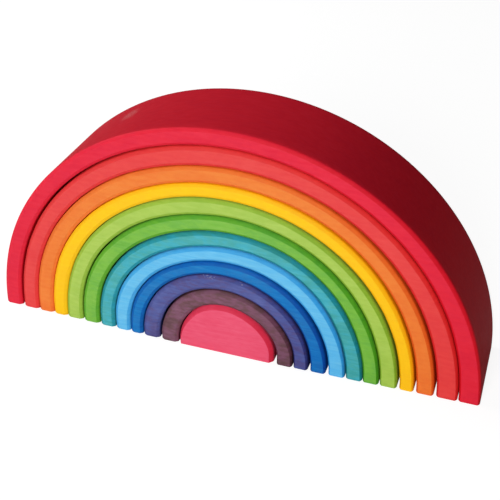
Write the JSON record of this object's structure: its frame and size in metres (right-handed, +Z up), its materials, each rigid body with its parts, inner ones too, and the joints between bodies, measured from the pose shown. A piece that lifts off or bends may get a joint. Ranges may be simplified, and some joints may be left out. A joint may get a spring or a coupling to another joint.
{
  "type": "rainbow stacker",
  "caption": "Nest of loose stained-wood arches over a solid half-round core, each standing on its own feet, for stacking and building play.",
  "frame": {"origin": "on the floor under the middle of the nest", "axes": "+X along the width, +Y from the front face to the back face, +Z up"},
  "size_m": [0.38, 0.0738, 0.1842],
  "materials": {
    "pink_stain": "pink water stain on bare lime wood, matt, sanded faces and sawn curves",
    "plum_stain": "brown plum water stain on bare lime wood, matt, sanded faces and sawn curves",
    "violet_stain": "blue violet water stain on bare lime wood, matt, sanded faces and sawn curves",
    "blue_stain": "blue water stain on bare lime wood, matt, sanded faces and sawn curves",
    "sky_stain": "light blue water stain on bare lime wood, matt, sanded faces and sawn curves",
    "teal_stain": "teal water stain on bare lime wood, matt, sanded faces and sawn curves",
    "green_stain": "green water stain on bare lime wood, matt, sanded faces and sawn curves",
    "lime_stain": "light green water stain on bare lime wood, matt, sanded faces and sawn curves",
    "yellow_stain": "yellow water stain on bare lime wood, matt, sanded faces and sawn curves",
    "orange_stain": "orange water stain on bare lime wood, matt, sanded faces and sawn curves",
    "red_stain": "coral red water stain on bare lime wood, matt, sanded faces and sawn curves",
    "crimson_stain": "crimson water stain on bare lime wood, matt, sanded faces and sawn curves"
  },
  "bodies": {
    "core_pink": {"core_pink": "pink_stain"},
    "arch_plum": {"arch_plum": "plum_stain"},
    "arch_violet": {"arch_violet": "violet_stain"},
    "arch_blue": {"arch_blue": "blue_stain"},
    "arch_sky": {"arch_sky": "sky_stain"},
    "arch_teal": {"arch_teal": "teal_stain"},
    "arch_green": {"arch_green": "green_stain"},
    "arch_lime": {"arch_lime": "lime_stain"},
    "arch_yellow": {"arch_yellow": "yellow_stain"},
    "arch_orange": {"arch_orange": "orange_stain"},
    "arch_red": {"arch_red": "red_stain"},
    "arch_crimson": {"arch_crimson": "crimson_stain"}
  },
  "joints": [
    {"name": "pink_slide", "type": "slide", "parent": "arch_crimson", "child": "core_pink", "axis": [0, -1, 0], "range_m": [-0.09, 0.09]},
    {"name": "plum_slide", "type": "slide", "parent": "arch_crimson", "child": "arch_plum", "axis": [0, -1, 0], "range_m": [-0.09, 0.09]},
    {"name": "violet_slide", "type": "slide", "parent": "arch_crimson", "child": "arch_violet", "axis": [0, -1, 0], "range_m": [-0.09, 0.09]},
    {"name": "blue_slide", "type": "slide", "parent": "arch_crimson", "child": "arch_blue", "axis": [0, -1, 0], "range_m": [-0.09, 0.09]},
    {"name": "sky_slide", "type": "slide", "parent": "arch_crimson", "child": "arch_sky", "axis": [0, -1, 0], "range_m": [-0.09, 0.09]},
    {"name": "teal_slide", "type": "slide", "parent": "arch_crimson", "child": "arch_teal", "axis": [0, -1, 0], "range_m": [-0.09, 0.09]},
    {"name": "green_slide", "type": "slide", "parent": "arch_crimson", "child": "arch_green", "axis": [0, -1, 0], "range_m": [-0.09, 0.09]},
    {"name": "lime_slide", "type": "slide", "parent": "arch_crimson", "child": "arch_lime", "axis": [0, -1, 0], "range_m": [-0.09, 0.09]},
    {"name": "yellow_slide", "type": "slide", "parent": "arch_crimson", "child": "arch_yellow", "axis": [0, -1, 0], "range_m": [-0.09, 0.09]},
    {"name": "orange_slide", "type": "slide", "parent": "arch_crimson", "child": "arch_orange", "axis": [0, -1, 0], "range_m": [-0.09, 0.09]},
    {"name": "red_slide", "type": "slide", "parent": "arch_crimson", "child": "arch_red", "axis": [0, -1, 0], "range_m": [-0.09, 0.09]}
  ]
}
